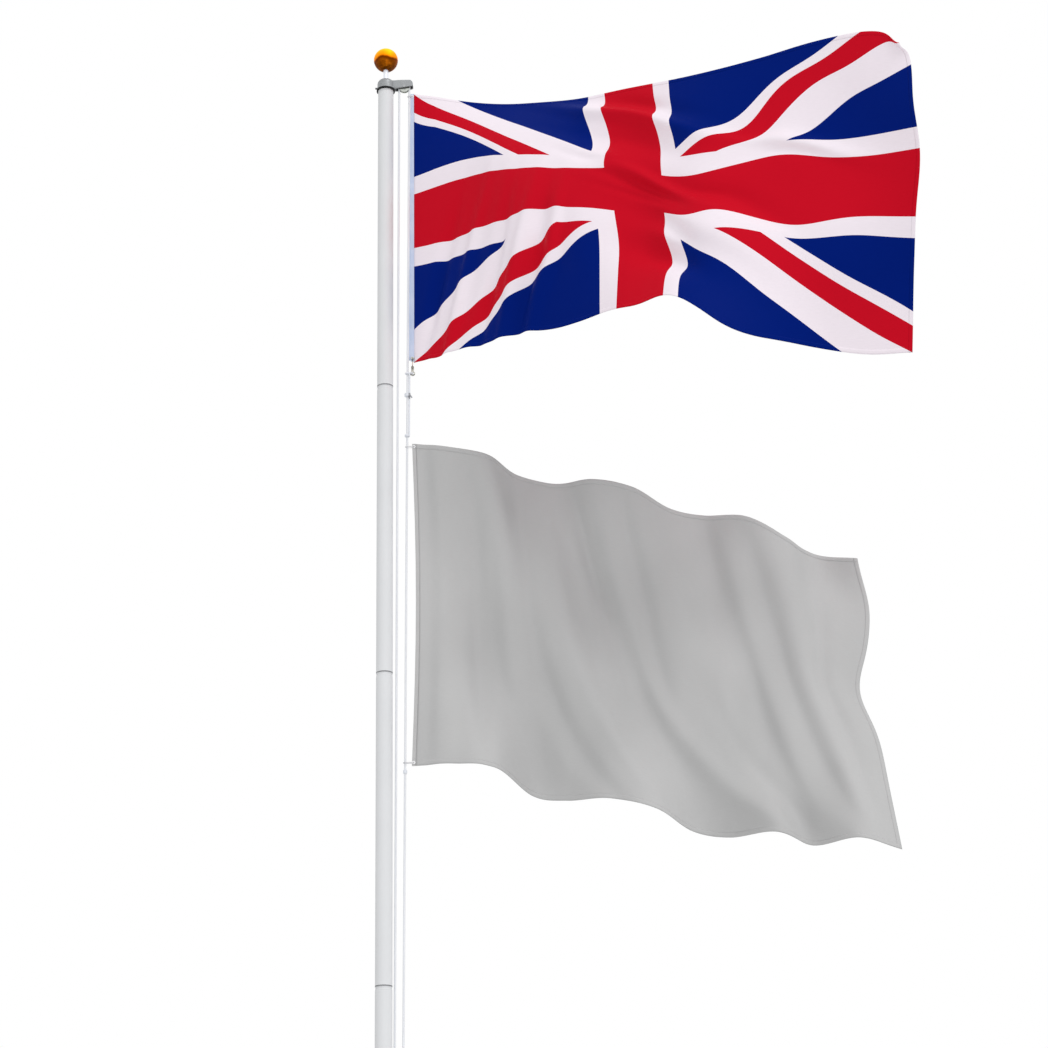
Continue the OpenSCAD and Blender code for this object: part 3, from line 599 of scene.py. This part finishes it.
# Fine folds: share along the fly, share down, tilt in degrees, half length and half width in hoists,
# height out of the cloth, shift to the right and shift upwards in metres.
UPPER_FOLDS = [
    (0.50, 0.155, 19, 0.20, 0.024, 0.026, 0, 0), (0.50, 0.27, 16, 0.20, 0.032, -0.012, 0, 0),
    (0.46, 0.36, 14, 0.12, 0.013, -0.005, 0, 0), (0.47, 0.41, 16, 0.10, 0.012, 0.004, 0, 0),
    (0.52, 0.54, 18, 0.12, 0.013, -0.005, 0, 0), (0.585, 0.80, 0, 0.06, 0.045, 0, 0.011, 0),
    (0.555, 0.67, 0, 0.05, 0.035, 0, -0.009, 0), (0.69, 0.79, 0, 0.09, 0.05, 0, 0, 0.011),
    (0.725, 0.658, 0, 0.08, 0.035, 0, -0.008, 0.013), (0.622, 0.59, 0, 0.07, 0.035, 0, 0, 0.005),
    (0.63, 0.60, 15, 0.14, 0.050, 0.022, 0, 0), (0.65, 0.66, 24, 0.16, 0.045, 0.022, 0, 0),
    (0.615, 0.64, 24, 0.11, 0.055, 0, 0, -0.024),
    (0.525, 0.095, 19, 0.16, 0.024, -0.010, 0, 0), (0.525, 0.43, 28, 0.20, 0.024, 0.015, 0, 0),
    (0.53, 0.49, 28, 0.20, 0.022, -0.008, 0, 0), (0.56, 0.700, 13, 0.10, 0.030, 0.014, 0, 0),
    (0.555, 0.79, 12, 0.13, 0.038, -0.018, 0, 0),
    (0.05, 0.80, -72, 0.20, 0.020, -0.018, 0, 0), (0.12, 0.78, -72, 0.22, 0.020, 0.018, 0, 0),
    (0.19, 0.78, -72, 0.20, 0.020, -0.018, 0, 0), (0.245, 0.78, -72, 0.20, 0.020, 0.018, 0, 0),
    (0.275, 0.80, -72, 0.18, 0.018, -0.018, 0, 0), (0.305, 0.80, -72, 0.18, 0.018, 0.018, 0, 0),
    (0.45, 0.40, 0, 0.08, 0.07, 0, -0.022, 0.002), (0.45, 0.60, 0, 0.08, 0.07, 0, -0.009, 0.007),
    (0.55, 0.40, 0, 0.09, 0.07, 0, 0, -0.021), (0.55, 0.60, 0, 0.09, 0.07, 0, 0, 0.024),
    (0.575, 1.0, 0, 0.09, 0.12, 0, 0, 0.020), (0.49, 1.0, 0, 0.06, 0.10, 0, 0, -0.018),
    (0.67, 1.0, 0, 0.08, 0.12, 0, 0, -0.016), (0.17, 1.0, 0, 0.07, 0.10, 0, 0, -0.011),
    (0.075, 1.0, 0, 0.06, 0.06, 0, 0, -0.012), (0.32, 1.0, 0, 0.07, 0.10, 0, 0, -0.008),
    (0.79, 1.0, 0, 0.09, 0.10, 0, 0, 0.010), (0.94, 1.0, 0, 0.07, 0.08, 0, 0, -0.008),
    (0.585, 0.36, 0, 0.07, 0.12, 0, 0.006, 0), (0.667, 0.34, 0, 0.07, 0.12, 0, -0.010, 0),
    (0.423, 0.114, 0, 0.05, 0.05, 0, -0.012, 0), (0.42, 0.29, 0, 0.06, 0.05, 0, 0.010, -0.013),
    (0.15, 0.58, 0, 0.12, 0.05, 0, 0, 0.016), (0.29, 0.60, 0, 0.08, 0.05, 0, 0.003, 0.009),
    (0.33, 0.65, 0, 0.06, 0.05, 0, 0.010, 0.005), (0.40, 0.70, 0, 0.08, 0.06, 0, 0, 0.016),
    (0.315, 0.78, 0, 0.06, 0.06, 0, 0.022, 0), (0.11, 0.72, 0, 0.12, 0.07, 0, 0, 0.018),
    (0.945, 0.0, 0, 0.08, 0.07, 0, 0, 0.017), (1.0, 0.0, 0, 0.034, 0.034, 0, -0.022, -0.030),
    (0.07, 0.16, 0, 0.12, 0.10, 0, 0, 0.016), (1.0, 0.12, 0, 0.09, 0.07, 0, 0.007, 0),
    (1.0, 0.42, 0, 0.10, 0.09, 0, 0.016, 0),
    (0.712, 0.240, 0, 0.065, 0.05, 0, 0.006, -0.038), (0.788, 0.144, 0, 0.10, 0.07, 0, -0.008, 0.026),
    (0.776, 0.425, 0, 0.10, 0.038, 0, -0.010, 0.030), (0.625, 0.43, 0, 0.09, 0.05, 0, 0, -0.020),
    (0.76, 0.32, 0, 0.06, 0.04, 0, -0.014, 0), (0.872, 0.20, 0, 0.09, 0.06, 0, 0, 0.024),
    (0.796, 0.590, 0, 0.10, 0.036, 0, 0, -0.022), (0.663, 0.577, 0, 0.09, 0.05, 0, 0, 0.010),
    (0.906, 0.664, 0, 0.08, 0.05, 0, 0, 0.011), (1.0, 0.80, 0, 0.12, 0.08, 0, 0, 0.020),
    (0.81, 0.345, 17, 0.13, 0.020, 0.016, 0, 0), (0.69, 0.53, 25, 0.13, 0.030, -0.012, 0, 0),
    (0.585, 0.67, 0, 0.06, 0.10, 0, 0.011, -0.003), (0.667, 0.67, 0, 0.06, 0.12, 0, -0.008, 0.012),
    (0.78, 0.67, 0, 0.08, 0.12, 0, 0.007, -0.008)]
LOWER_FOLDS = [
    (1.0, 0.17, 0, 0.14, 0.08, 0, 0.016, 0), (1.0, 0.46, 0, 0.14, 0.085, 0, -0.045, 0)]

# Long folds: share along the fly where the fold starts, its lean, its bend below BEND_FROM, its half width
# as a share of the fly, its height in metres, and the shares down between which it runs.
LOWER_CREASES = [
    (0.022, 0.0, 0, 0.014, -0.006, 0.02, 0.98), (0.055, 0.0, 0, 0.030, 0.010, 0.02, 0.98),
    (0.128, 0.01, 0.05, 0.022, -0.012, 0.05, 0.97), (0.180, 0.04, 0.15, 0.025, 0.012, 0.05, 0.8),
    (0.243, 0.02, 0.55, 0.029, -0.019, 0.08, 0.97), (0.310, 0.05, 0.55, 0.030, 0.014, 0.05, 0.9),
    (0.366, 0.15, 0, 0.016, -0.014, 0.05, 0.42), (0.415, 0.15, 0, 0.022, 0.014, 0.05, 0.42),
    (0.470, 0.12, 0.40, 0.020, -0.014, 0.05, 0.62), (0.500, 0.02, 0.90, 0.036, 0.018, 0.42, 0.96),
    (0.590, 0.05, 0.80, 0.036, -0.011, 0.50, 0.96), (0.690, 0.16, 0.10, 0.026, 0.012, 0.05, 0.95),
    (0.738, 0.17, 0.10, 0.027, -0.014, 0.07, 0.95), (0.795, 0.15, 0, 0.027, 0.010, 0.05, 0.95),
    (0.875, 0.09, 0, 0.022, -0.010, 0.05, 0.95)]


BEND_FROM, FADE = 0.45, 0.05


def creases(table, u, v):
    """Height of the long folds at a place."""
    total = 0
    for u0, lean, bend, width, height, start, end in table:
        line = u0 + lean * v + bend * max(0, v - BEND_FROM) ** 2
        run = 1 / (1 + math.exp((start - v) / FADE)) / (1 + math.exp((v - end) / FADE))
        total += height * run * math.exp(-((u - line) / width) ** 2)
    return total


def rows_at(out, fore, down, u, v):
    """Place of the plain cloth in hoists, from its rows."""
    part = lambda rows: along([along(row, u) for row in rows], v)
    return Vector((part(out), -part(fore), -part(down)))


def folds(table, u, v, ratio):
    """Shift right, height and shift up of the fine folds at a place."""
    total = Vector((0, 0, 0))
    for u0, v0, tilt, reach, width, height, right, up in table:
        c, s = math.cos(math.radians(tilt)), math.sin(math.radians(tilt))
        x, y = (u - u0) * ratio, v - v0
        a, b = (x * c + y * s) / reach, (-x * s + y * c) / width
        if abs(a) < 4 and abs(b) < 4:
            total += Vector((right, height, up)) * math.exp(-(a * a + b * b) * 0.5)
    return total


def surface(base, table, lines, ratio, u, v):
    """Place of the cloth with its folds, which fade out at the heading."""
    p = base(u, v)
    h = 0.004
    du = base(min(u + h, 1), v) - base(max(u - h, 0), v)
    dv = base(u, min(v + h, 1)) - base(u, max(v - h, 0))
    add = (folds(table, u, v, ratio) + Vector((0, creases(lines, u, v), 0))) * min(1, u / FADE)
    return p + dv.cross(du).normalized() * add.y + Vector((add.x, 0, add.z))


def sheet(name, shape, us, vs, slot_name, thick):
    """A closed sheet over a grid of shares, its map in the same shares."""
    grid = [[shape(u, v) for v in vs] for u in us]
    nu, nv = len(us), len(vs)
    points, uvs = [], []
    for layer in (0.5, -0.5):
        for i in range(nu):
            for j in range(nv):
                a = grid[min(i + 1, nu - 1)][j] - grid[max(i - 1, 0)][j]
                b = grid[i][min(j + 1, nv - 1)] - grid[i][max(j - 1, 0)]
                points.append(grid[i][j] + b.cross(a).normalized() * thick * layer)
                uvs.append((us[i], vs[j]))
    n = nu * nv
    at = lambda i, j: i * nv + j
    faces = []
    for i in range(nu - 1):
        for j in range(nv - 1):
            q = (at(i, j), at(i, j + 1), at(i + 1, j + 1), at(i + 1, j))
            faces.append(q)
            faces.append(tuple(n + k for k in reversed(q)))
    rim = [at(i, 0) for i in range(nu)] + [at(nu - 1, j) for j in range(1, nv)]
    rim += [at(i, nv - 1) for i in range(nu - 2, -1, -1)] + [at(0, j) for j in range(nv - 2, -1, -1)]
    for a, b in zip(rim, rim[1:]):
        faces.append((a, b, n + b, n + a))
    o = new_mesh(name, points, faces, uvs, slot_name)
    skin = 2 * (nu - 1) * (nv - 1)
    o.data.polygons.foreach_set("use_smooth", [k < skin for k in range(len(faces))])
    o.data.update()
    return o


def steps(a, b, n):
    """Shares from a to b in n equal steps."""
    return [a + (b - a) * i / n for i in range(n + 1)]


HEADING_W, HEADING_LAP = 0.011, 0.001
CLOTH_T, HEM_T, BINDING_T = 0.0009, 0.00105, 0.0014
BINDING_DROP, BINDING_SHORT, BINDING_GAP, BINDING_LAP = 0.002, 0.006, 0.0041, 0.0012
UNION_RATIO, GREY_RATIO = 2.0, 1.665
# The headings: height of the top end, hoist, gaps to the rope at top and bottom, and bow between them.
UNION_EDGE = (5.820, UNION_H, 0.0042, 0.010, 0)
GREY_EDGE = (4.559, GREY_H, 0.0155, 0.020, 0.012)


def edge_x(top, hoist, gap_top, gap_bottom, bow, z):
    """Edge of a heading at a height, from its gaps and its bow."""
    v = min(max((top - z) / hoist, 0), 1)
    return hoist_at(z).x + gap_top + (gap_bottom - gap_top) * v + bow * math.sin(math.pi * v)


def flag(node, slot_name, rows, edge, table, lines, ratio, size, hem, cells):
    """A flag's cloth with its three hems, hung on its heading."""
    top = edge[0]
    out, fore, down = rows
    length, height = size
    nu, nv = cells

    def base(u, v):
        low = top - height * along([row[0] for row in down], v)
        x = edge_x(*edge, top) + (edge_x(*edge, low) - edge_x(*edge, top)) * (1 - u) ** 2
        corner = Vector((x + HEADING_W - HEADING_LAP, hoist_at(top).y, top))
        return corner + height * rows_at(out, fore, down, u, v)

    shape = lambda u, v: surface(base, table, lines, ratio, u, v)
    cloth = sheet(node + "_cloth", shape, steps(0, 1, nu), steps(0, 1, nv), slot_name, CLOTH_T)
    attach(cloth, "flags_body")
    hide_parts(node)
    end, side = hem / length, hem / height
    for tag, us, vs in (("top", steps(0, 1, nu), steps(0, side, 3)),
                        ("bottom", steps(0, 1, nu), steps(1 - side, 1, 3)),
                        ("fly", steps(1 - end, 1, 3), steps(0, 1, nv))):
        h = sheet(f"{node}_cloth_{tag}_hem", shape, us, vs, slot_name, HEM_T)
        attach(h, "flags_body")


def binding(u, v):
    """Edge binding of the upper heading, between the rope and the tape."""
    z = UNION_EDGE[0] - BINDING_DROP - (UNION_H - BINDING_SHORT) * v
    near = hoist_at(z).x + BINDING_GAP
    return Vector((near + (edge_x(*UNION_EDGE, z) + BINDING_LAP - near) * u, 0, z))


flag("union_flag", "flag_cloth", (UPPER_OUT, UPPER_FORE, UPPER_DOWN), UNION_EDGE, UPPER_FOLDS, [],
     UNION_RATIO, (UNION_L, UNION_H), UNION_HEM, (220, 120))
strip = sheet("union_heading_binding", binding, steps(0, 1, 3), steps(0, 1, 60), "heading_tape", BINDING_T)
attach(strip, "flags_body")
flag("grey_flag", "grey_cloth", (LOWER_OUT, LOWER_FORE, LOWER_DOWN), GREY_EDGE, LOWER_FOLDS, LOWER_CREASES,
     GREY_RATIO, (GREY_L, GREY_H), GREY_HEM, (180, 100))


# Stage, light and camera
def stage_material(name, grey):
    g = Graph(name)
    n = g.noise(g.place(), 2, 2, 0.5)
    return g.done(g.mix(n, (grey, grey, grey, 1.0), (grey * 0.98, grey * 0.98, grey * 0.98, 1.0)), 0.9)


bpy.ops.mesh.primitive_plane_add(size=80, location=(0, 0, 0))
floor = bpy.context.object
floor.name = "floor"
floor.data.materials.append(stage_material("floor", 0.86))

world = bpy.data.worlds.new("studio")
bpy.context.scene.world = world
world.use_nodes = True
wires = world.node_tree
background = wires.nodes["Background"]
ray = wires.nodes.new("ShaderNodeLightPath")
seen = ray.outputs["Is Camera Ray"]
for kind in ("Is Glossy Ray", "Is Transmission Ray"):
    either = wires.nodes.new("ShaderNodeMath")
    either.operation = "MAXIMUM"
    wires.links.new(seen, either.inputs[0])
    wires.links.new(ray.outputs[kind], either.inputs[1])
    seen = either.outputs[0]
level = wires.nodes.new("ShaderNodeMapRange")
wires.links.new(seen, level.inputs["Value"])
level.inputs["To Min"].default_value = 0.72
level.inputs["To Max"].default_value = 1.0
wires.links.new(level.outputs[0], background.inputs["Strength"])
background.inputs["Color"].default_value = (1, 1, 1, 1)


def sun(name, toward, strength, angle):
    """A soft lamp that shines from the direction of toward."""
    lamp = bpy.data.lights.new(name, "SUN")
    lamp.energy = strength
    lamp.angle = math.radians(angle)
    o = bpy.data.objects.new(name, lamp)
    o.rotation_euler = Vector(toward).to_track_quat("Z", "Y").to_euler()
    bpy.context.scene.collection.objects.link(o)


sun("key", (0.42, -0.62, 0.80), 1.1, 25)
sun("fill", (-0.2, -1.0, 0.1), 0.2, 60)

CAMERA_AT = Vector((0.432, -7.2405, 1.5017))
FOCAL_PX, PHOTO_PX = 2500, 1048
pitch, roll = math.radians(21.012), math.radians(-1.087)
look = Vector((0, math.cos(pitch), math.sin(pitch)))
level_x, level_y = Vector((1, 0, 0)), Vector((0, -math.sin(pitch), math.cos(pitch)))
right = level_x * math.cos(roll) + level_y * math.sin(roll)
up = level_y * math.cos(roll) - level_x * math.sin(roll)
lens = bpy.data.cameras.new("camera")
lens.sensor_fit = "HORIZONTAL"
lens.sensor_width = 36
lens.lens = lens.sensor_width * FOCAL_PX / PHOTO_PX
lens.clip_end = 200
camera = bpy.data.objects.new("camera", lens)
columns = [right.to_4d(), up.to_4d(), (-look).to_4d(), CAMERA_AT.to_4d()]
for column in columns[:3]:
    column.w = 0
camera.matrix_world = Matrix(columns).transposed()
bpy.context.scene.collection.objects.link(camera)
bpy.context.scene.camera = camera
bpy.context.scene.view_settings.view_transform = "Standard"
